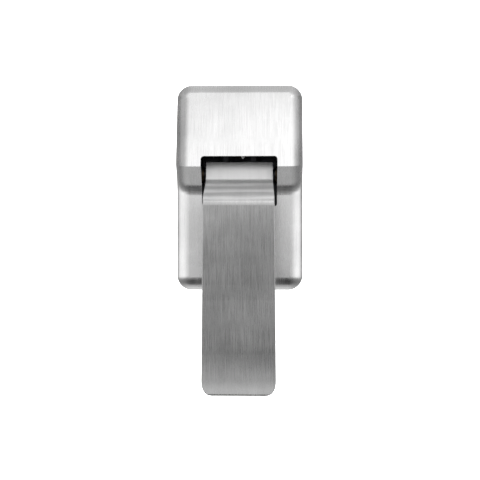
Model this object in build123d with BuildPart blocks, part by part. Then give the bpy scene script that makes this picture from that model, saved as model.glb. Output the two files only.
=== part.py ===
from build123d import *
from math import cos, radians, sin, tan
import os

os.makedirs("parts", exist_ok=True)

# Paddle-operated door latch trim. Millimetres, +Z up.
# The door face is the plane Y = 0, the door is on the +Y side, and the trim faces -Y.
# The origin is where the drive rod crosses the door face, at the centre of the door's 54 mm bore.
# "depth" below means the distance in front of the door face, so Y = -depth.

# ---- housing ----
HOUSING_W = 68.9
HOUSING_H = 112.3
HOUSING_Z = -24.35
WALL = 2.0
CORNER_R = 8.2
DRAFT = 1.6
LOWER_DEPTH = 12.4
RIDGE_DEPTH = 24.0
RIDGE_Z = -14.4
FOOT_Z = -25.2
HOOD_TILT = 17.0
FRONT_R = 7.2
FOOT_R = 8.5
BOSS_X = 24.5
BOSS_ZS = (21.0, -68.5)
BOSS_R = 4.0
SCREW_R = 2.0

# ---- slot the lever comes out of ----
SLOT_W = 40.4
SLOT_TOP = -8.8
SLOT_BOTTOM = -34.9
SLOT_R = 1.6
NIB_X = 2.0
NIB_R = 1.35
NIB_DROP = 1.4

# ---- back plate ----
PLATE_T = 2.0
PLATE_GAP = 0.3
WINDOW_W = 24.0
WINDOW_TOP = 9.0
WINDOW_BOTTOM = -15.0

# ---- lever pivot ----
PIVOT_DEPTH = 7.0
PIVOT_Z = -17.5
PIN_R = 2.5
PIN_HALF = 24.4
RUN_FIT = 0.05
BUSH_R = 3.6
BUSH_FLANGE_R = 5.2
EAR_IN = 20.2
EAR_OUT = 22.4
EAR_R = 6.2
SLEEVE_R = 3.7
SLEEVE_HALF = 19.1
CLIP_T = 0.7
CLIP_GAP = 0.1

# ---- lever strap ----
STRAP_T = 3.2
STRAP_TOP = -11.2
STRAP_BOTTOM = -133.1
STRAP_TOP_HALF = 18.1
STRAP_NECK_HALF = 18.5
STRAP_END_HALF = 19.3
EDGE_R = 0.4
LIP_R = 1.0

# ---- crank plates ----
CRANK_IN = 6.2
CRANK_T = 2.5
CRANK_TILT = 14.0
CRANK_REACH = 20.5
ARM_W = 7.0
FORK_W = 8.6
FORK_FIT = 0.08
HUB_R = 4.6
BUMPER_TOP = 4.0

# ---- drive rod ----
ROD_R = 4.0
CROSS_R = 2.0
CROSS_HALF = 11.0
CROSS_DEPTH = PIVOT_DEPTH + (0 - PIVOT_Z) * tan(radians(CRANK_TILT))
ROD_NOSE = 3.6
ROD_END_Y = 14.0
THREAD_R = 3.0
THREAD_END_Y = 23.0
WASHER_T = 1.2
WASHER_R = 5.9

# ---- guide behind the plate ----
WEB_Y = 8.0
WEB_T = 2.0
GUIDE_R = 5.2
GUIDE_FLANGE_R = 7.0
GUIDE_FLANGE_T = 1.2
BRACKET_HALF_W = 12.6
LEG_Z = 16.0
FOOT_END_Z = 23.5
RIVET_X = 3.4
RIVET_Z = 20.8
RIVET_R = 1.5

# ---- return spring ----
SPRING_R = 5.1
WIRE_R = 0.5
COILS = 4.5

# ---- rubber stop the crank tails rest on ----
BUMPER_Z = -27.5
BUMPER_W = 20.0
BUMPER_H = 6.2
BUMPER_STEM_Z = -28.2
BUMPER_STEM_R = 1.8

# ---- rod end fittings ----
NUT_FLATS = 10.0
NUT_T = 3.2
COUPLER_LENGTH = 14.0
COUPLER_THREAD = 8.0
COUPLER_R = 2.5

# ---- countersunk screws through the back plate ----
SCREW_HEAD_R = 3.9
SCREW_LENGTH = 7.0

# ---- through-door fixing ----
POST_X = 22.0
POST_R = 4.4
POST_END_Y = 18.0
POST_SPIGOT_R = 3.2
POST_THREAD_R = 2.1

SIDES = (-1, 1)


def crossing(z1, d1, angle1, z2, d2, angle2):
    """Where two lines in the side view meet; each has a point and a rise angle in degrees."""
    c1, s1 = cos(radians(angle1)), sin(radians(angle1))
    c2, s2 = cos(radians(angle2)), sin(radians(angle2))
    t = ((z2 - z1) * s2 - (d2 - d1) * c2) / (c1 * s2 - s1 * c2)
    return z1 + t * c1, d1 + t * s1


def rise(z1, d1, z2, d2):
    return Vector(z2 - z1, d2 - d1).get_angle(Vector(1, 0))


SLOPE = rise(FOOT_Z, LOWER_DEPTH, RIDGE_Z, RIDGE_DEPTH)


def hood_depth(z, inset=0.0):
    """Depth of the hood's front face at a height, moved into the metal by inset."""
    return RIDGE_DEPTH - (z - RIDGE_Z) * tan(radians(HOOD_TILT)) - inset / cos(radians(HOOD_TILT))


def rim_of(faces):
    """The edges that belong to only one of these faces."""
    rim = ShapeList()
    for face in faces:
        for edge in face.edges():
            if sum(any(edge.is_same(e) for e in f.edges()) for f in faces) == 1:
                rim.append(edge)
    return rim


def housing_block(inset):
    """The housing as a solid block; inset by the wall it is the housing's hollow."""
    slope_z = FOOT_Z + inset * sin(radians(SLOPE))
    slope_d = LOWER_DEPTH - inset * cos(radians(SLOPE))
    low_d = LOWER_DEPTH - inset
    foot = crossing(0, low_d, 0, slope_z, slope_d, SLOPE)
    ridge = crossing(slope_z, slope_d, SLOPE, 0, hood_depth(0, inset), -HOOD_TILT)
    top_z = HOUSING_Z + HOUSING_H
    with BuildPart() as block:
        with BuildSketch(Plane.XZ):
            with Locations((0, HOUSING_Z)):
                RectangleRounded(HOUSING_W - 2 * inset, HOUSING_H - 2 * inset, CORNER_R - inset)
        extrude(amount=RIDGE_DEPTH + 4, taper=DRAFT)
        with BuildSketch(Plane.YZ):
            Polygon(
                (0, HOUSING_Z - HOUSING_H),
                (-low_d, HOUSING_Z - HOUSING_H),
                (-foot[1], foot[0]),
                (-ridge[1], ridge[0]),
                (-hood_depth(top_z, inset), top_z),
                (0, top_z),
                align=None,
            )
        extrude(amount=HOUSING_W, both=True, mode=Mode.INTERSECT)
        across = block.edges().filter_by(Axis.X)
        foot_edge = across.sort_by_distance((0, -foot[1], foot[0]))[0]
        fillet(foot_edge, FOOT_R + inset)
        fronts = [f for f in block.faces() if f.normal_at().Y < -0.3]
        fillet(rim_of(fronts), FRONT_R - inset)
    return block.part


# ---- housing: deep-drawn cover with a raised hood, a lever slot, four screw bosses and a small nib ----
with BuildPart() as housing:
    add(housing_block(0))
    add(housing_block(WALL), mode=Mode.SUBTRACT)
    for boss_z in BOSS_ZS:
        reach = min(LOWER_DEPTH, hood_depth(boss_z)) - WALL * 0.6
        if boss_z < FOOT_Z:
            reach = LOWER_DEPTH - WALL * 0.6
        with BuildSketch(Plane.XZ.offset(PLATE_T)):
            with Locations((-BOSS_X, boss_z), (BOSS_X, boss_z)):
                Circle(BOSS_R)
        extrude(amount=reach - PLATE_T)
        with BuildSketch(Plane.XZ.offset(PLATE_T)):
            with Locations((-BOSS_X, boss_z), (BOSS_X, boss_z)):
                Circle(SCREW_R)
        extrude(amount=reach - PLATE_T - 1.6, mode=Mode.SUBTRACT)
    with BuildSketch(Plane.XZ.offset(LOWER_DEPTH - 5)):
        with Locations((0, (SLOT_TOP + SLOT_BOTTOM) / 2)):
            RectangleRounded(SLOT_W, SLOT_TOP - SLOT_BOTTOM, SLOT_R)
    extrude(amount=RIDGE_DEPTH, mode=Mode.SUBTRACT)
    with Locations((NIB_X, -hood_depth(SLOT_TOP) + WALL - 0.3, SLOT_TOP + 0.6)):
        Cone(0.25, NIB_R, NIB_DROP + 0.6, align=(Align.CENTER, Align.CENTER, Align.MAX))
    housing.part.label = "housing"
    export_step(housing.part, "parts/housing.step")

# ---- back plate: flat plate inside the housing rim, with two ears for the pivot ----
PLATE_W = HOUSING_W - 2 * (WALL + PLATE_GAP)
PLATE_H = HOUSING_H - 2 * (WALL + PLATE_GAP)
with BuildPart() as back_plate:
    with BuildSketch(Plane.XZ):
        with Locations((0, HOUSING_Z)):
            RectangleRounded(PLATE_W, PLATE_H, CORNER_R - WALL)
        with Locations((0, (WINDOW_TOP + WINDOW_BOTTOM) / 2)):
            RectangleRounded(WINDOW_W, WINDOW_TOP - WINDOW_BOTTOM, 2, mode=Mode.SUBTRACT)
        with Locations((-POST_X, 0), (POST_X, 0)):
            Circle(POST_SPIGOT_R, mode=Mode.SUBTRACT)
        with GridLocations(2 * RIVET_X, 2 * RIVET_Z, 2, 2):
            Circle(RIVET_R, mode=Mode.SUBTRACT)
        with Locations((0, BUMPER_STEM_Z)):
            Circle(BUMPER_STEM_R, mode=Mode.SUBTRACT)
    extrude(amount=PLATE_T)
    for side in SIDES:
        with BuildSketch(Plane.YZ.offset(side * (EAR_IN + EAR_OUT) / 2)):
            with Locations((-PIVOT_DEPTH, PIVOT_Z)):
                Circle(EAR_R)
            Polygon(
                (-PLATE_T / 2, PIVOT_Z - EAR_R - 3),
                (-PLATE_T / 2, PIVOT_Z + EAR_R + 3),
                (-PLATE_T, PIVOT_Z + EAR_R + 3),
                (-PIVOT_DEPTH, PIVOT_Z + EAR_R),
                (-PIVOT_DEPTH, PIVOT_Z - EAR_R),
                (-PLATE_T, PIVOT_Z - EAR_R - 3),
                align=None,
            )
            with Locations((-PIVOT_DEPTH, PIVOT_Z)):
                Circle(BUSH_R, mode=Mode.SUBTRACT)
        extrude(amount=(EAR_OUT - EAR_IN) / 2, both=True)
    with Locations(Location((0, 0, 0), (90, 0, 0))):
        with Locations(*[(side * BOSS_X, z, 0) for side in SIDES for z in BOSS_ZS]):
            CounterSinkHole(SCREW_R + 0.2, SCREW_HEAD_R, PLATE_T * 2)
    back_plate.part.label = "back_plate"
    export_step(back_plate.part, "parts/back_plate.step")

# ---- four countersunk screws driven from behind into the housing bosses ----
with BuildPart() as housing_screws:
    for boss_z in BOSS_ZS:
        for side in SIDES:
            with BuildSketch(Plane.XY.offset(boss_z)):
                Polygon(
                    (side * BOSS_X, -0.05),
                    (side * BOSS_X + SCREW_HEAD_R - 0.2, -0.05),
                    (side * BOSS_X + SCREW_R, -SCREW_HEAD_R + SCREW_R - 0.05),
                    (side * BOSS_X + SCREW_R, -SCREW_LENGTH),
                    (side * BOSS_X, -SCREW_LENGTH),
                    align=None,
                )
            revolve(axis=Axis((side * BOSS_X, 0, boss_z), (0, 1, 0)))
            with BuildSketch(Plane.XZ.offset(0.05)):
                with Locations((side * BOSS_X, boss_z)):
                    RegularPolygon(1.25, 6)
            extrude(amount=1.3, mode=Mode.SUBTRACT)
    housing_screws.part.label = "housing_screws"
    export_step(housing_screws.part, "parts/housing_screws.step")

# ---- two threaded posts riveted into the back plate for the through-door screws ----
with BuildPart() as mounting_posts:
    for side in SIDES:
        with BuildSketch(Plane.XZ):
            with Locations((side * POST_X, 0)):
                Circle(POST_R)
        extrude(amount=-POST_END_Y)
        with BuildSketch(Plane.XZ):
            with Locations((side * POST_X, 0)):
                Circle(POST_SPIGOT_R)
        extrude(amount=PLATE_T)
        with BuildSketch(Plane.XZ.offset(PLATE_T)):
            with Locations((side * POST_X, 0)):
                Circle(POST_R - 0.2)
        extrude(amount=0.7)
        with BuildSketch(Plane.XZ.offset(-POST_END_Y)):
            with Locations((side * POST_X, 0)):
                Circle(POST_THREAD_R)
        extrude(amount=POST_END_Y + PLATE_T + 0.7, mode=Mode.SUBTRACT)
    tips = mounting_posts.edges().filter_by(GeomType.CIRCLE).group_by(Axis.Y)[-1]
    chamfer(tips, 0.5)
    mounting_posts.part.label = "mounting_posts"
    export_step(mounting_posts.part, "parts/mounting_posts.step")

# ---- rubber stop with a stem pulled through the back plate ----
with BuildPart() as stop_bumper:
    with BuildSketch(Plane.XZ.offset(PLATE_T)):
        with Locations((0, BUMPER_Z)):
            RectangleRounded(BUMPER_W, BUMPER_H, 1.2)
    extrude(amount=BUMPER_TOP - PLATE_T)
    with BuildSketch(Plane.XZ):
        with Locations((0, BUMPER_STEM_Z)):
            Circle(BUMPER_STEM_R)
    extrude(amount=PLATE_T)
    with BuildSketch(Plane.XZ):
        with Locations((0, BUMPER_STEM_Z)):
            Circle(BUMPER_STEM_R + 0.9)
    extrude(amount=-1.2)
    stop_bumper.part.label = "stop_bumper"
    export_step(stop_bumper.part, "parts/stop_bumper.step")

# ---- flanged bushings in the ears, flange on the inner side ----
for side, name in ((-1, "pivot_bushing_left"), (1, "pivot_bushing_right")):
    with BuildPart() as bushing:
        with BuildSketch(Plane.XY.offset(PIVOT_Z)):
            Polygon(
                (side * (EAR_IN - 1), -PIVOT_DEPTH + PIN_R + RUN_FIT),
                (side * (EAR_OUT + 0.1), -PIVOT_DEPTH + PIN_R + RUN_FIT),
                (side * (EAR_OUT + 0.1), -PIVOT_DEPTH + BUSH_R),
                (side * EAR_IN, -PIVOT_DEPTH + BUSH_R),
                (side * EAR_IN, -PIVOT_DEPTH + BUSH_FLANGE_R - 0.5),
                (side * (EAR_IN - 0.9), -PIVOT_DEPTH + BUSH_FLANGE_R - 0.5),
                align=None,
            )
        revolve(axis=Axis((0, -PIVOT_DEPTH, PIVOT_Z), (1, 0, 0)))
        bushing.part.label = name
        export_step(bushing.part, "parts/" + name + ".step")

# ---- hat-shaped bracket behind the plate that holds the rod guide inside the door bore ----
with BuildPart() as guide_bracket:
    with BuildSketch(Plane.YZ):
        for side in SIDES:
            with Locations((PLATE_T / 2, side * (LEG_Z + FOOT_END_Z) / 2)):
                Rectangle(PLATE_T, FOOT_END_Z - LEG_Z)
            with Locations(((WEB_Y + WEB_T) / 2, side * (LEG_Z + WEB_T / 2))):
                Rectangle(WEB_Y + WEB_T, WEB_T)
        with Locations((WEB_Y + WEB_T / 2, 0)):
            Rectangle(WEB_T, 2 * (LEG_Z + WEB_T))
    extrude(amount=BRACKET_HALF_W, both=True)
    bends = guide_bracket.edges().filter_by(Axis.X).group_by(Axis.Y)[-1]
    fillet(bends, 1.5)
    feet = guide_bracket.edges().filter_by(Axis.Y).group_by(Axis.Z)
    fillet(feet[0] + feet[-1], 4)
    with BuildSketch(Plane.XZ):
        Circle(GUIDE_R)
    extrude(amount=-(WEB_Y + WEB_T), mode=Mode.SUBTRACT)
    with BuildSketch(Plane.XZ):
        with GridLocations(2 * RIVET_X, 2 * RIVET_Z, 2, 2):
            Circle(RIVET_R)
    extrude(amount=-PLATE_T, mode=Mode.SUBTRACT)
    guide_bracket.part.label = "guide_bracket"
    export_step(guide_bracket.part, "parts/guide_bracket.step")

# ---- four rivets through plate and bracket feet ----
with BuildPart() as bracket_rivets:
    for x in (-RIVET_X, RIVET_X):
        for z in (-RIVET_Z, RIVET_Z):
            with BuildSketch(Plane.XY.offset(z)):
                Polygon(
                    (x, PLATE_T + 0.9),
                    (x + RIVET_R, PLATE_T + 0.9),
                    (x + RIVET_R + 1.1, PLATE_T),
                    (x + RIVET_R, PLATE_T),
                    (x + RIVET_R, -PLATE_T),
                    (x + RIVET_R + 1.1, -PLATE_T),
                    (x + RIVET_R, -PLATE_T - 0.9),
                    (x, -PLATE_T - 0.9),
                    align=None,
                )
            revolve(axis=Axis((x, 0, z), (0, 1, 0)))
    bracket_rivets.part.label = "bracket_rivets"
    export_step(bracket_rivets.part, "parts/bracket_rivets.step")

# ---- flanged guide the rod slides in; the return spring seats on its flange ----
with BuildPart() as rod_guide:
    with BuildSketch(Plane.XY):
        Polygon(
            (ROD_R + RUN_FIT, WEB_Y - GUIDE_FLANGE_T),
            (GUIDE_FLANGE_R, WEB_Y - GUIDE_FLANGE_T),
            (GUIDE_FLANGE_R, WEB_Y),
            (GUIDE_R, WEB_Y),
            (GUIDE_R, WEB_Y + WEB_T + 1.2),
            (ROD_R + RUN_FIT, WEB_Y + WEB_T + 1.2),
            align=None,
        )
    revolve(axis=Axis.Y)
    rod_guide.part.label = "rod_guide"
    export_step(rod_guide.part, "parts/rod_guide.step")

# ---- lever: one bent strap, a short leg inside the hood, a run out of the slot and a long paddle ----
FRONT_LINE = (
    (12.9, STRAP_TOP),
    (15.1, -21.4),
    (34.0, -31.4),
    (32.0, -80.0),
    (31.8, -120.5),
    (33.2, STRAP_BOTTOM),
)
FRONT_BENDS = (2.8, 6.0, 220, 150)
with BuildPart() as paddle:
    with BuildSketch(Plane.YZ):
        with BuildLine():
            run = FilletPolyline(*[(-d, z) for d, z in FRONT_LINE], radius=FRONT_BENDS)
            offset(run, amount=STRAP_T, side=Side.LEFT, closed=True)
        make_face()
        fillet(vertices().sort_by(Axis.Y)[:2], LIP_R)
    extrude(amount=STRAP_END_HALF + 5, both=True)
    with BuildSketch(Plane.XZ):
        with BuildLine():
            for side in SIDES:
                Line((0, STRAP_TOP), (side * STRAP_TOP_HALF, STRAP_TOP))
                Line((side * STRAP_TOP_HALF, STRAP_TOP), (side * STRAP_TOP_HALF, -21.0))
                Bezier(
                    (side * STRAP_TOP_HALF, -21.0),
                    (side * STRAP_TOP_HALF, -26.0),
                    (side * STRAP_NECK_HALF, -29.0),
                    (side * STRAP_NECK_HALF, -34.0),
                )
                Line((side * STRAP_NECK_HALF, -34.0), (side * STRAP_END_HALF, STRAP_BOTTOM + 8.0))
                Bezier(
                    (side * STRAP_END_HALF, STRAP_BOTTOM + 8.0),
                    (side * STRAP_END_HALF, STRAP_BOTTOM + 3.2),
                    (side * (STRAP_END_HALF - 1.8), STRAP_BOTTOM + 0.2),
                    (side * (STRAP_END_HALF - 5.5), STRAP_BOTTOM),
                )
                Line((side * (STRAP_END_HALF - 5.5), STRAP_BOTTOM), (0, STRAP_BOTTOM))
        make_face()
    extrude(amount=60, mode=Mode.INTERSECT)
    skins = [f for f in paddle.faces() if abs(f.normal_at().X) < 0.1]
    sides = [f for f in paddle.faces() if abs(f.normal_at().X) > 0.95]
    long_edges = [e for e in rim_of(skins) if any(e.is_same(s) for f in sides for s in f.edges())]
    fillet(long_edges, EDGE_R)
    paddle.part.label = "paddle"
    export_step(paddle.part, "parts/paddle.step")

# ---- the room the strap's leg takes out of the crank plates ----
with BuildPart() as strap_room:
    with BuildSketch(Plane.YZ):
        with BuildLine():
            lean = Line((-FRONT_LINE[0][0], STRAP_TOP), (-FRONT_LINE[1][0], FRONT_LINE[1][1]))
            offset(lean, amount=STRAP_T, side=Side.LEFT, closed=True)
        make_face()
    extrude(amount=STRAP_TOP_HALF, both=True)

# ---- two crank plates welded to the back of the strap, each with an open fork at the top ----
for side, name in ((-1, "crank_plate_left"), (1, "crank_plate_right")):
    with BuildPart() as crank:
        with BuildSketch(Plane.YZ.offset(side * (CRANK_IN + CRANK_T / 2))):
            with Locations((-PIVOT_DEPTH, PIVOT_Z)):
                Circle(HUB_R)
                Polygon(
                    (3.0, -10.5),
                    (0.5, -10.5),
                    (-3.6, -5.0),
                    (-5.6, 0.2),
                    (-4.4, 5.8),
                    (2.0, 5.6),
                    (4.0, -2.0),
                    (3.0, -6.0),
                    align=None,
                )
            with Locations(Location((-PIVOT_DEPTH, PIVOT_Z, 0), (0, 0, CRANK_TILT))):
                Rectangle(ARM_W, CRANK_REACH - 4, align=(Align.CENTER, Align.MIN))
                with Locations((0, CRANK_REACH - 8)):
                    Rectangle(FORK_W, 8, align=(Align.CENTER, Align.MIN))
            with Locations(Location((-PIVOT_DEPTH, PIVOT_Z, 0), (0, 0, CRANK_TILT))):
                with Locations((0, CRANK_REACH - 4.4)):
                    Circle(CROSS_R + FORK_FIT, mode=Mode.SUBTRACT)
                    Rectangle(
                        2 * (CROSS_R + FORK_FIT),
                        10,
                        align=(Align.CENTER, Align.MIN),
                        mode=Mode.SUBTRACT,
                    )
            with Locations((-PIVOT_DEPTH, PIVOT_Z)):
                Circle(SLEEVE_R, mode=Mode.SUBTRACT)
        extrude(amount=CRANK_T / 2, both=True)
        add(strap_room.part, mode=Mode.SUBTRACT)
        crank.part.label = name
        export_step(crank.part, "parts/" + name + ".step")

# ---- weld beads between strap and crank plates, down the back of the leaning leg ----
down_leg = (Vector(0, -FRONT_LINE[1][0], FRONT_LINE[1][1]) - Vector(0, -FRONT_LINE[0][0], STRAP_TOP)).normalized()
weld_top = Plane(origin=(0, -FRONT_LINE[0][0], STRAP_TOP), x_dir=(1, 0, 0), z_dir=down_leg)
with BuildPart() as crank_welds:
    for side in SIDES:
        with BuildSketch(weld_top.offset(0.2)):
            Polygon(
                (side * (CRANK_IN + CRANK_T), -STRAP_T),
                (side * (CRANK_IN + CRANK_T + 1.5), -STRAP_T),
                (side * (CRANK_IN + CRANK_T), -STRAP_T - 1.5),
                align=None,
            )
        extrude(amount=1.8)
    crank_welds.part.label = "crank_welds"
    export_step(crank_welds.part, "parts/crank_welds.step")

# ---- sleeve through the crank plates, and the pivot pin pressed into it ----
with BuildPart() as pivot_sleeve:
    with BuildSketch(Plane.YZ):
        with Locations((-PIVOT_DEPTH, PIVOT_Z)):
            Circle(SLEEVE_R)
            Circle(PIN_R, mode=Mode.SUBTRACT)
    extrude(amount=SLEEVE_HALF, both=True)
    pivot_sleeve.part.label = "pivot_sleeve"
    export_step(pivot_sleeve.part, "parts/pivot_sleeve.step")

GROOVE_IN = EAR_OUT + 0.1 + CLIP_GAP
with BuildPart() as pivot_pin:
    with BuildSketch(Plane.YZ):
        with Locations((-PIVOT_DEPTH, PIVOT_Z)):
            Circle(PIN_R)
    extrude(amount=PIN_HALF, both=True)
    chamfer(pivot_pin.edges().filter_by(GeomType.CIRCLE), 0.4)
    for side in SIDES:
        with BuildSketch(Plane.YZ.offset(side * (GROOVE_IN + CLIP_T / 2))):
            with Locations((-PIVOT_DEPTH, PIVOT_Z)):
                Circle(PIN_R + 1)
                Circle(PIN_R - 0.5, mode=Mode.SUBTRACT)
        extrude(amount=CLIP_T / 2, both=True, mode=Mode.SUBTRACT)
    pivot_pin.part.label = "pivot_pin"
    export_step(pivot_pin.part, "parts/pivot_pin.step")

with BuildPart() as pivot_clips:
    for side in SIDES:
        with BuildSketch(Plane.YZ.offset(side * (GROOVE_IN + CLIP_T / 2))):
            with Locations((-PIVOT_DEPTH, PIVOT_Z)):
                Circle(4.6)
                Circle(PIN_R - 0.5, mode=Mode.SUBTRACT)
                Rectangle(2.6, 8, align=(Align.CENTER, Align.MAX), mode=Mode.SUBTRACT)
        extrude(amount=CLIP_T / 2, both=True)
    pivot_clips.part.label = "pivot_clips"
    export_step(pivot_clips.part, "parts/pivot_clips.step")

# ---- drive rod: round rod with a cross hole at the nose and a threaded tail ----
with BuildPart() as drive_rod:
    with BuildSketch(Plane.XZ.offset(CROSS_DEPTH + ROD_NOSE)):
        Circle(ROD_R)
    extrude(amount=-(CROSS_DEPTH + ROD_NOSE + ROD_END_Y))
    with BuildSketch(Plane.XZ.offset(-ROD_END_Y)):
        Circle(THREAD_R)
    extrude(amount=-(THREAD_END_Y - ROD_END_Y))
    nose = drive_rod.edges().filter_by(GeomType.CIRCLE).group_by(Axis.Y)
    chamfer(nose[0], 0.8)
    chamfer(nose[-1], 0.5)
    with BuildSketch(Plane.YZ):
        with Locations((-CROSS_DEPTH, 0)):
            Circle(CROSS_R)
    extrude(amount=ROD_R + 1, both=True, mode=Mode.SUBTRACT)
    drive_rod.part.label = "drive_rod"
    export_step(drive_rod.part, "parts/drive_rod.step")

CROSS_GROOVE = CRANK_IN + CRANK_T + 0.3
with BuildPart() as cross_pin:
    with BuildSketch(Plane.YZ):
        with Locations((-CROSS_DEPTH, 0)):
            Circle(CROSS_R)
    extrude(amount=CROSS_HALF, both=True)
    chamfer(cross_pin.edges().filter_by(GeomType.CIRCLE), 0.3)
    for side in SIDES:
        with BuildSketch(Plane.YZ.offset(side * (CROSS_GROOVE + CLIP_T / 2))):
            with Locations((-CROSS_DEPTH, 0)):
                Circle(CROSS_R + 1)
                Circle(CROSS_R - 0.4, mode=Mode.SUBTRACT)
        extrude(amount=CLIP_T / 2, both=True, mode=Mode.SUBTRACT)
    cross_pin.part.label = "cross_pin"
    export_step(cross_pin.part, "parts/cross_pin.step")

with BuildPart() as cross_pin_clips:
    for side in SIDES:
        with BuildSketch(Plane.YZ.offset(side * (CROSS_GROOVE + CLIP_T / 2))):
            with Locations((-CROSS_DEPTH, 0)):
                Circle(3.6)
                Circle(CROSS_R - 0.4, mode=Mode.SUBTRACT)
                Rectangle(2.2, 8, align=(Align.CENTER, Align.MAX), mode=Mode.SUBTRACT)
        extrude(amount=CLIP_T / 2, both=True)
    cross_pin_clips.part.label = "cross_pin_clips"
    export_step(cross_pin_clips.part, "parts/cross_pin_clips.step")

# ---- washer behind the cross pin: the moving seat of the return spring ----
WASHER_FRONT_Y = -CROSS_DEPTH + CROSS_R
with BuildPart() as spring_washer:
    with BuildSketch(Plane.XZ.offset(-WASHER_FRONT_Y)):
        Circle(WASHER_R)
        Circle(ROD_R, mode=Mode.SUBTRACT)
    extrude(amount=-WASHER_T)
    spring_washer.part.label = "spring_washer"
    export_step(spring_washer.part, "parts/spring_washer.step")

# ---- thin lock nut and long coupler on the threaded tail ----
with BuildPart() as lock_nut:
    with BuildSketch(Plane.XZ.offset(-ROD_END_Y)):
        RegularPolygon(NUT_FLATS / 2, 6, major_radius=False)
        Circle(THREAD_R, mode=Mode.SUBTRACT)
    extrude(amount=-NUT_T)
    lock_nut.part.label = "lock_nut"
    export_step(lock_nut.part, "parts/lock_nut.step")

COUPLER_Y = ROD_END_Y + NUT_T
with BuildPart() as rod_coupler:
    with BuildSketch(Plane.XZ.offset(-COUPLER_Y)):
        RegularPolygon(NUT_FLATS / 2, 6, major_radius=False)
    extrude(amount=-COUPLER_LENGTH)
    with BuildSketch(Plane.XZ.offset(-COUPLER_Y)):
        Circle(THREAD_R)
    extrude(amount=-(THREAD_END_Y - COUPLER_Y), mode=Mode.SUBTRACT)
    with BuildSketch(Plane.XZ.offset(-(COUPLER_Y + COUPLER_LENGTH))):
        Circle(COUPLER_R)
    extrude(amount=COUPLER_THREAD, mode=Mode.SUBTRACT)
    rod_coupler.part.label = "rod_coupler"
    export_step(rod_coupler.part, "parts/rod_coupler.step")

# ---- return spring: wound round the rod between the washer and the guide flange ----
SPRING_START_Y = WASHER_FRONT_Y + WASHER_T
SPRING_LENGTH = WEB_Y - GUIDE_FLANGE_T - SPRING_START_Y
with BuildPart() as return_spring:
    with BuildLine():
        coil = Helix(
            pitch=(SPRING_LENGTH - 2 * WIRE_R) / COILS,
            height=SPRING_LENGTH - 2 * WIRE_R,
            radius=SPRING_R,
            center=(0, SPRING_START_Y + WIRE_R, 0),
            direction=(0, 1, 0),
        )
    with BuildSketch(Plane(origin=coil @ 0, z_dir=coil % 0)):
        Circle(WIRE_R)
    sweep(path=coil, is_frenet=True)
    return_spring.part.label = "return_spring"
    export_step(return_spring.part, "parts/return_spring.step")
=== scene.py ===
import math
from collections import namedtuple

import bpy
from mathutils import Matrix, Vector


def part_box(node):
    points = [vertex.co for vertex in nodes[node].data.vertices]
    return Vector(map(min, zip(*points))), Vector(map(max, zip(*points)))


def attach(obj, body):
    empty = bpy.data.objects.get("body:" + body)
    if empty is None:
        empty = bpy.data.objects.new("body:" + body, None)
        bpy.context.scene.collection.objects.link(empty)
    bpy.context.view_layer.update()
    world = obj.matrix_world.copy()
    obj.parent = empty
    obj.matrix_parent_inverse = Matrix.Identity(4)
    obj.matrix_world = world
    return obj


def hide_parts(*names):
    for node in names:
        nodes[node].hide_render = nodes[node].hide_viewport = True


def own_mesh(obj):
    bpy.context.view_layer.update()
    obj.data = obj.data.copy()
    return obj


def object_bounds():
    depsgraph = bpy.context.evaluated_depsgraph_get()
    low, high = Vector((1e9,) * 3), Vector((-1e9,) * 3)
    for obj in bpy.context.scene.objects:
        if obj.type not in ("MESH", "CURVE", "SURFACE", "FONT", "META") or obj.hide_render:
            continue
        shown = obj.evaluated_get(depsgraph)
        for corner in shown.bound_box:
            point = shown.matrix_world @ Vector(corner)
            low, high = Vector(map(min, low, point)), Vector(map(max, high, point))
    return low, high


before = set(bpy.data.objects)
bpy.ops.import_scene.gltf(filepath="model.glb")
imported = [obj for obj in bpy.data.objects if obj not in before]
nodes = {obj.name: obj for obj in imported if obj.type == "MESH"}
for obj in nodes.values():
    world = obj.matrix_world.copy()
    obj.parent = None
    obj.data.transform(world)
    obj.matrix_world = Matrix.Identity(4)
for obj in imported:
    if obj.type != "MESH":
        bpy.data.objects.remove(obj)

cad_box = [[float(c) for c in corner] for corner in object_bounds()]
scene = bpy.context.scene
scene.view_settings.view_transform = "Standard"
scene.view_settings.look = "None"


# ---- node helpers ----
def new_material(name):
    material = bpy.data.materials.new(name)
    material.use_nodes = True
    tree = material.node_tree
    return material, tree, tree.nodes["Principled BSDF"]


def add(tree, kind, inputs=None, **settings):
    node = tree.nodes.new(kind)
    for key, value in settings.items():
        setattr(node, key, value)
    for key, value in (inputs or {}).items():
        if isinstance(value, bpy.types.NodeSocket):
            tree.links.new(value, node.inputs[key])
        else:
            node.inputs[key].default_value = value
    return node


def math_node(tree, operation, *values):
    return add(tree, "ShaderNodeMath", dict(enumerate(values)), operation=operation).outputs[0]


def vector_node(tree, operation, inputs):
    return add(tree, "ShaderNodeVectorMath", inputs, operation=operation).outputs["Vector"]


def ramp(tree, value, stops):
    """Levels of grey at stated positions from 0 to 1, with straight runs between them."""
    node = add(tree, "ShaderNodeValToRGB", {"Fac": value})
    node.color_ramp.interpolation = "LINEAR"
    while len(node.color_ramp.elements) < len(stops):
        node.color_ramp.elements.new(0.5)
    for element, (position, level) in zip(node.color_ramp.elements, stops):
        element.position = position
        element.color = (level, level, level, 1)
    return node.outputs["Color"]


def noise(tree, vector, scale, detail=2.0, roughness=0.5):
    return add(
        tree,
        "ShaderNodeTexNoise",
        {"Vector": vector, "Scale": scale, "Detail": detail, "Roughness": roughness},
    ).outputs["Fac"]


def stretched(tree, vector, scale):
    return add(tree, "ShaderNodeMapping", {"Vector": vector, "Scale": scale}).outputs["Vector"]


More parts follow.
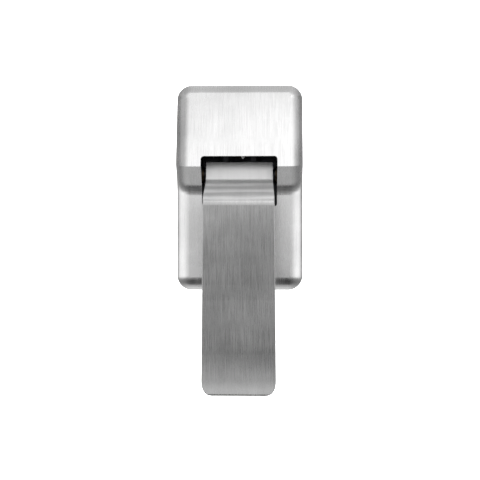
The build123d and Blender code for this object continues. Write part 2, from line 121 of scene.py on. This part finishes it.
def mapped(tree, value, low, high, from_low=0.0, from_high=1.0):
    """The value's place between from_low and from_high, carried over to low and high and held there."""
    return add(
        tree,
        "ShaderNodeMapRange",
        {"Value": value, "From Min": from_low, "From Max": from_high, "To Min": low, "To Max": high},
    ).outputs["Result"]


def grey(tree, level):
    node = add(tree, "ShaderNodeCombineColor", {"Red": level, "Green": level, "Blue": level})
    return node.outputs["Color"]


def roughen(tree, shader, height, strength, distance):
    inputs = {"Strength": strength, "Distance": distance, "Height": height}
    bump = add(tree, "ShaderNodeBump", inputs)
    tree.links.new(bump.outputs["Normal"], shader.inputs["Normal"])


# ---- materials ----
# A band of height where the broad front-facing faces are made duller and painted brighter than the
# rest: the tone it adds is painted light, the duller roughness is the finish.
# Where its stripe strength isn't nought, painted reflection stripes of that strength run across it and
# it has no grain.
DullPaintedLightBand = namedtuple("DullPaintedLightBand", "low high fade roughness tone marks")

# noise scales per metre, and how long the grain is drawn out up and down
GRAIN_SCALE = 5200
GRAIN_UP = 0.012
STREAK_SCALE = 900
BLOTCH_SCALE = 46
# how far the grain spreads light one way only
ONE_WAY = 0.8
# painted reflection stripes: waves up the height, starting at a phase and wandering by another, in
# radians
STRIPES_RADIANS_PER_METRE = 1611.0
STRIPES_START = 42.0
STRIPES_WANDER = 4.6


def brushed_steel(name, tone, roughness, tail, grain, smudge, painted_light_bands):
    """Stainless sheet with a fine grain that runs up and down, and faint smudges."""
    material, tree, shader = new_material(name)
    where = add(tree, "ShaderNodeTexCoord").outputs["Object"]
    geometry = add(tree, "ShaderNodeNewGeometry")
    normal = add(tree, "ShaderNodeSeparateXYZ", {"Vector": geometry.outputs["Normal"]})
    sideways = math_node(tree, "ABSOLUTE", normal.outputs["X"])
    faced = mapped(tree, sideways, 1.0, 0.0, 0.25, 0.8)
    sideways = mapped(tree, sideways, 0.0, 1.0, 0.6, 0.85)
    front_fine = noise(tree, stretched(tree, where, (1.0, 0.03, GRAIN_UP)), GRAIN_SCALE, 3.0, 0.6)
    side_fine = noise(tree, stretched(tree, where, (0.03, 1.0, GRAIN_UP)), GRAIN_SCALE, 3.0, 0.6)
    fine = add(tree, "ShaderNodeMix", {"Factor": sideways, "A": front_fine, "B": side_fine})
    fine = fine.outputs["Result"]
    broad = noise(tree, stretched(tree, where, (1.0, 0.04, 0.02)), STREAK_SCALE, 2.0, 0.5)
    blotch = noise(tree, where, BLOTCH_SCALE, 4.0, 0.62)
    streaked = mapped(tree, broad, -0.02 * grain, 0.02 * grain, 0.3, 0.7)
    fine_tone = mapped(tree, fine, -0.05 * grain, 0.05 * grain, 0.3, 0.7)
    smudged = mapped(tree, blotch, -0.03 * smudge, 0.03 * smudge, 0.35, 0.65)
    level = math_node(tree, "ADD", streaked, fine_tone)
    level = math_node(tree, "ADD", level, smudged)
    level = math_node(tree, "ADD", level, tone)
    rough = mapped(tree, fine, roughness - 0.04, roughness + tail, 0.46, 0.62)
    height = add(tree, "ShaderNodeSeparateXYZ", {"Vector": where}).outputs["Z"]
    uneven = noise(tree, stretched(tree, where, (0.12, 1.0, 1.0)), 260, 1.0, 0.5)
    phase = math_node(tree, "MULTIPLY_ADD", height, STRIPES_RADIANS_PER_METRE, STRIPES_START)
    phase = math_node(tree, "MULTIPLY_ADD", uneven, STRIPES_WANDER, phase)
    across = math_node(tree, "COSINE", phase)
    one_way = ONE_WAY
    shader.inputs["Anisotropic"].default_value = ONE_WAY
    # each band paints light: the tone it adds on front-facing faces is painted light, and its roughness
    # is a duller finish
    for painted_light_band in painted_light_bands:
        above = mapped(tree, height, 0.0, 1.0, painted_light_band.low, painted_light_band.low + painted_light_band.fade)
        below = mapped(tree, height, 1.0, 0.0, painted_light_band.high - painted_light_band.fade, painted_light_band.high)
        inside = math_node(tree, "MULTIPLY", math_node(tree, "MULTIPLY", above, below), faced)
        # the band's painted light, with painted reflection stripes across it where their strength isn't
        # nought
        painted_tone = mapped(tree, across, painted_light_band.tone - painted_light_band.marks, painted_light_band.tone + painted_light_band.marks, -1.0, 1.0)
        duller = math_node(tree, "MULTIPLY", inside, painted_light_band.roughness)
        painted_light = math_node(tree, "MULTIPLY", inside, painted_tone)
        rough = math_node(tree, "ADD", rough, duller)
        level = math_node(tree, "ADD", level, painted_light)
        if painted_light_band.marks:
            lost = math_node(tree, "MULTIPLY", inside, ONE_WAY)
            one_way = math_node(tree, "SUBTRACT", one_way, lost)
            tree.links.new(one_way, shader.inputs["Anisotropic"])
    tree.links.new(grey(tree, level), shader.inputs["Base Color"])
    hazed = mapped(tree, blotch, -0.012 * smudge, 0.015 * smudge, 0.35, 0.65)
    rough = math_node(tree, "ADD", rough, hazed)
    tree.links.new(rough, shader.inputs["Roughness"])
    roughen(tree, shader, fine, 0.16 * grain, 0.00003)
    # the grain spreads light along a level line in the face
    way = vector_node(tree, "CROSS_PRODUCT", {0: (0, 0, 1), 1: geometry.outputs["Normal"]})
    way = vector_node(tree, "ADD", {0: way, 1: (0.002, 0, 0)})
    way = vector_node(tree, "NORMALIZE", {0: way})
    tree.links.new(way, shader.inputs["Tangent"])
    shader.inputs["Metallic"].default_value = 1.0
    return material


def plain_metal(name, colour, roughness, scale=420.0, uneven=0.12):
    """Plated or sintered metal: fine pits, small changes of tone, and dulled patches."""
    material, tree, shader = new_material(name)
    where = add(tree, "ShaderNodeTexCoord").outputs["Object"]
    fine = noise(tree, where, scale * 6, 3.0, 0.6)
    patch = noise(tree, where, scale, 3.0, 0.55)
    shade = mapped(tree, patch, 1.0 - uneven, 1.0 + uneven, 0.3, 0.7)
    tint = vector_node(tree, "SCALE", {0: colour, "Scale": shade})
    tree.links.new(tint, shader.inputs["Base Color"])
    dulled = mapped(tree, patch, roughness - 0.07, roughness + 0.09, 0.3, 0.7)
    tree.links.new(dulled, shader.inputs["Roughness"])
    roughen(tree, shader, fine, 0.25, 0.00004)
    shader.inputs["Metallic"].default_value = 1.0
    return material


def soft_rubber(name):
    """Black rubber with a fine grit and patches of dust."""
    material, tree, shader = new_material(name)
    where = add(tree, "ShaderNodeTexCoord").outputs["Object"]
    grit = noise(tree, where, 3000, 3.0, 0.6)
    dust = noise(tree, where, 260, 3.0, 0.6)
    level = mapped(tree, dust, 0.018, 0.04, 0.3, 0.7)
    tree.links.new(grey(tree, level), shader.inputs["Base Color"])
    tree.links.new(mapped(tree, dust, 0.62, 0.8, 0.3, 0.7), shader.inputs["Roughness"])
    roughen(tree, shader, grit, 0.3, 0.00005)
    return material


# painted light: the foot of the hood is painted brighter, and its roughness is made duller
cover_painted_light_bands = [
    DullPaintedLightBand(-0.0282, -0.0242, 0.0010, 0.10, 0.20, 0.0),  # foot of the hood
]
# painted light: bands of height on the paddle are painted brighter, with painted reflection stripes on
# the sloped run; the roughness added is a duller finish
paddle_painted_light_bands = [
    DullPaintedLightBand(-0.0620, 0.0, 0.020, 0.0, 0.05, 0.0),  # upper half
    DullPaintedLightBand(-0.0330, 0.0, 0.002, 0.22, 0.29, 0.0),  # everything above the lower bend
    DullPaintedLightBand(-0.0330, -0.0206, 0.0010, 0.25, 0.05, 0.12),  # sloped run between the bends
    DullPaintedLightBand(-0.1400, -0.1260, 0.005, 0.0, 0.08, 0.0),  # tip
]
steel = brushed_steel(
    "brushed_steel_cover",
    tone=0.66,
    roughness=0.29,
    tail=0.07,
    grain=0.45,
    smudge=2.0,
    painted_light_bands=cover_painted_light_bands,
)
# the paddle's tone is set lower than the cover's: painted shade on the same stainless steel
paddle_steel = brushed_steel(
    "brushed_steel_paddle",
    tone=0.41,
    roughness=0.29,
    tail=0.12,
    grain=0.55,
    smudge=1.1,
    painted_light_bands=paddle_painted_light_bands,
)
black_zinc = plain_metal("black_zinc_plate", (0.045, 0.046, 0.05), 0.4)
clear_zinc = plain_metal("clear_zinc_plate", (0.50, 0.51, 0.53), 0.33)
dark = plain_metal("black_oiled_steel", (0.03, 0.03, 0.031), 0.36)
# the bronze is made nearly black: painted shade for the dark inside of the hood
bronze = plain_metal("bronze_darkened_as_shade", (0.075, 0.056, 0.036), 0.42, scale=700.0, uneven=0.18)
rubber = soft_rubber("stop_rubber")

# the pieces that aren't black zinc plated
finishes = {
    "paddle": paddle_steel,
    "housing": steel,
    "stop_bumper": rubber,
    "pivot_bushing_left": bronze,
    "pivot_bushing_right": bronze,
    "rod_guide": bronze,
    "pivot_clips": dark,
    "cross_pin_clips": dark,
    "mounting_posts": clear_zinc,
    "rod_coupler": clear_zinc,
    "lock_nut": clear_zinc,
    "drive_rod": clear_zinc,
    "bracket_rivets": clear_zinc,
    "housing_screws": clear_zinc,
}
BROKEN_EDGE = 0.00015
SHARP_FROM = math.radians(50)
for name, piece in nodes.items():
    piece.data.materials.clear()
    piece.data.materials.append(finishes.get(name, black_zinc))
    if name != "return_spring":
        edges = piece.modifiers.new("broken_edges", "BEVEL")
        edges.width = BROKEN_EDGE
        edges.segments = 2
        edges.limit_method = "ANGLE"
        edges.angle_limit = SHARP_FROM


def new_object(name, verts, faces, material):
    """A mesh whose four-sided faces are shaded smooth."""
    mesh = bpy.data.meshes.new(name)
    mesh.from_pydata(verts, [], faces)
    for polygon in mesh.polygons:
        polygon.use_smooth = len(polygon.vertices) == 4
    mesh.materials.append(material)
    made = bpy.data.objects.new(name, mesh)
    scene.collection.objects.link(made)
    return made


# ---- return spring, wound round the drive rod between the washer and the guide ----
WIRE = 0.0005
COIL = 0.0051
TURNS = 5.0
END_TURNS = 0.8
END_SHARE = 0.14
SEAT_GAP = 0.00008
RINGS = 260
RING_SIDES = 10
washer_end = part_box("spring_washer")[1][1]
guide_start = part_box("rod_guide")[0][1]


def along(turn):
    """Share of the way along the spring after so many turns; the end turns lie close together."""
    inner = min(max((turn - END_TURNS) / (TURNS - 2 * END_TURNS), 0.0), 1.0)
    ends = (min(turn, END_TURNS) + max(turn - TURNS + END_TURNS, 0.0)) / (2 * END_TURNS)
    return END_SHARE * ends + (1 - END_SHARE) * inner


centres = []
first = washer_end + WIRE + SEAT_GAP
last = guide_start - WIRE - SEAT_GAP
for step in range(RINGS + 1):
    turn = TURNS * step / RINGS
    y = first + (last - first) * along(turn)
    angle = 2 * math.pi * turn
    centres.append(Vector((COIL * math.cos(angle), y, COIL * math.sin(angle))))
verts = []
faces = []
for i, centre in enumerate(centres):
    ahead = centres[min(i + 1, RINGS)] - centres[max(i - 1, 0)]
    out = Vector((centre.x, 0, centre.z)).normalized()
    up = ahead.normalized().cross(out)
    for k in range(RING_SIDES):
        turn = 2 * math.pi * k / RING_SIDES
        verts.append(centre + WIRE * (math.cos(turn) * out + math.sin(turn) * up))
    if i:
        for k in range(RING_SIDES):
            a = (i - 1) * RING_SIDES + k
            b = (i - 1) * RING_SIDES + (k + 1) % RING_SIDES
            faces.append((a, b, b + RING_SIDES, a + RING_SIDES))
faces.append(tuple(range(RING_SIDES)))
faces.append(tuple(reversed(range(RINGS * RING_SIDES, (RINGS + 1) * RING_SIDES))))
spring = new_object("return_spring_wire", verts, faces, dark)
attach(spring, "trim")
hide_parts("return_spring")
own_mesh(spring)

# ---- camera: level with the middle of the whole object and a little to the right of square on ----
CAMERA_RIGHT = 0.010
CAMERA_AWAY = 0.4395
CAMERA_HEIGHT = -0.0530
camera_data = bpy.data.cameras.new("camera")
camera_data.lens = 59.5
camera_data.sensor_width = 36.0
camera_data.clip_start = 0.01
camera_data.clip_end = 20.0
camera = bpy.data.objects.new("camera", camera_data)
camera.location = (CAMERA_RIGHT, -CAMERA_AWAY, CAMERA_HEIGHT)
camera.rotation_euler = (math.radians(90), 0, math.atan2(CAMERA_RIGHT, CAMERA_AWAY))
scene.collection.objects.link(camera)
scene.camera = camera

# ---- plain pale bowl: a round floor that curves up into a wall on every side ----
FLOOR_BELOW = 0.06
FLOOR_RADIUS = 1.0
CURVE_RADIUS = 0.6
WALL_TOP = 3.2
CURVE_STEPS = 12
AROUND_STEPS = 72
floor_z = cad_box[0][2] - FLOOR_BELOW
profile = [(0.0, 0.0), (FLOOR_RADIUS / 2, 0.0), (FLOOR_RADIUS, 0.0)]
for step in range(1, CURVE_STEPS + 1):
    turn = math.radians(90 * step / CURVE_STEPS)
    radius = FLOOR_RADIUS + CURVE_RADIUS * math.sin(turn)
    profile.append((radius, CURVE_RADIUS - CURVE_RADIUS * math.cos(turn)))
profile.append((FLOOR_RADIUS + CURVE_RADIUS, WALL_TOP))
verts = []
for radius, z in profile:
    for step in range(AROUND_STEPS):
        turn = 2 * math.pi * step / AROUND_STEPS
        verts.append((radius * math.cos(turn), radius * math.sin(turn), z + floor_z))
quads = []
for i in range(len(profile) - 1):
    for step in range(AROUND_STEPS):
        a = i * AROUND_STEPS + step
        b = i * AROUND_STEPS + (step + 1) % AROUND_STEPS
        quads.append((a, b, b + AROUND_STEPS, a + AROUND_STEPS))
paper, _, paper_shader = new_material("pale_paper")
paper_shader.inputs["Base Color"].default_value = (0.93, 0.93, 0.93, 1)
paper_shader.inputs["Roughness"].default_value = 0.9
paper_shader.inputs["Emission Color"].default_value = (1, 1, 1, 1)
paper_shader.inputs["Emission Strength"].default_value = 0.8
bowl = new_object("pale_bowl", verts, quads, paper)
bowl.visible_glossy = False
bowl.visible_shadow = False

# ---- studio: soft light all round, brightest above the front, dimmest below it ----
world = bpy.data.worlds.new("studio")
world.use_nodes = True
scene.world = world
tree = world.node_tree
direction = add(tree, "ShaderNodeTexCoord").outputs["Generated"]
axes = add(tree, "ShaderNodeSeparateXYZ", {"Vector": direction})
forward = math_node(tree, "MULTIPLY", axes.outputs["Y"], -1.0)
around = math_node(tree, "ARCTAN2", axes.outputs["Z"], forward)
around = mapped(tree, around, 0.0, 1.0, -math.pi, math.pi)


def at(degrees):
    """Place on a ramp that runs from -180 to 180 degrees."""
    return (degrees + 180) / 360


# level of light against the angle above straight ahead, going over the top to straight behind
studio_levels = [
    (at(-180), 0.45),
    (at(-150), 0.85),
    (at(-104), 0.88),
    (at(-92), 0.58),
    (at(-78), 0.55),
    (at(-66), 0.05),
    (at(-24), 0.03),
    (at(-12), 0.10),
    (at(-5), 0.36),
    (at(0), 0.72),
    (at(6), 1.15),
    (at(20), 1.40),
    (at(38), 1.92),
    (at(43), 1.80),
    (at(49), 0.90),
    (at(56), 0.82),
    (at(90), 0.76),
    (at(150), 0.80),
    (at(180), 0.45),
]
centre = ramp(tree, around, studio_levels)

# how much brighter the right side is than the left at that angle: 0.5 is even, 1 is all to the right
lean_levels = [
    (at(-180), 0.5),
    (at(0), 0.1),
    (at(10), 0.1),
    (at(25), 1.0),
    (at(60), 1.0),
    (at(180), 0.5),
]
lean = mapped(tree, ramp(tree, around, lean_levels), -1.0, 1.0)
lean = math_node(tree, "MULTIPLY", lean, axes.outputs["X"])
lean = math_node(tree, "ADD", lean, 1.0)
centre = vector_node(tree, "SCALE", {0: centre, "Scale": lean})

# level of light on the two flanks against height: 0 is straight down, 1 is straight up
flank_levels = [
    (0.0, 0.40),
    (0.18, 0.25),
    (0.34, 0.40),
    (0.43, 1.45),
    (0.54, 1.45),
    (0.62, 0.30),
    (0.695, 0.30),
    (0.735, 0.62),
    (1.0, 0.50),
]
FLANK_BEHIND = 0.30
flank = ramp(tree, mapped(tree, axes.outputs["Z"], 0.0, 1.0, -1.0, 1.0), flank_levels)
behind = mapped(tree, axes.outputs["Y"], 0.0, 1.0, 0.10, 0.55)
flank = add(tree, "ShaderNodeMix", {"Factor": behind, "A": flank, "B": FLANK_BEHIND}).outputs["Result"]

# the colour sockets of a Mix node, which share their names with its other kinds
COLOUR_A = 6
COLOUR_B = 7
COLOUR_RESULT = 2
aside = math_node(tree, "ABSOLUTE", axes.outputs["X"])
aside = mapped(tree, aside, 0.0, 1.0, 0.15, 0.75)
light = add(tree, "ShaderNodeMix", {"Factor": aside}, data_type="RGBA")
tree.links.new(centre, light.inputs[COLOUR_A])
tree.links.new(flank, light.inputs[COLOUR_B])
tree.links.new(light.outputs[COLOUR_RESULT], tree.nodes["Background"].inputs["Color"])
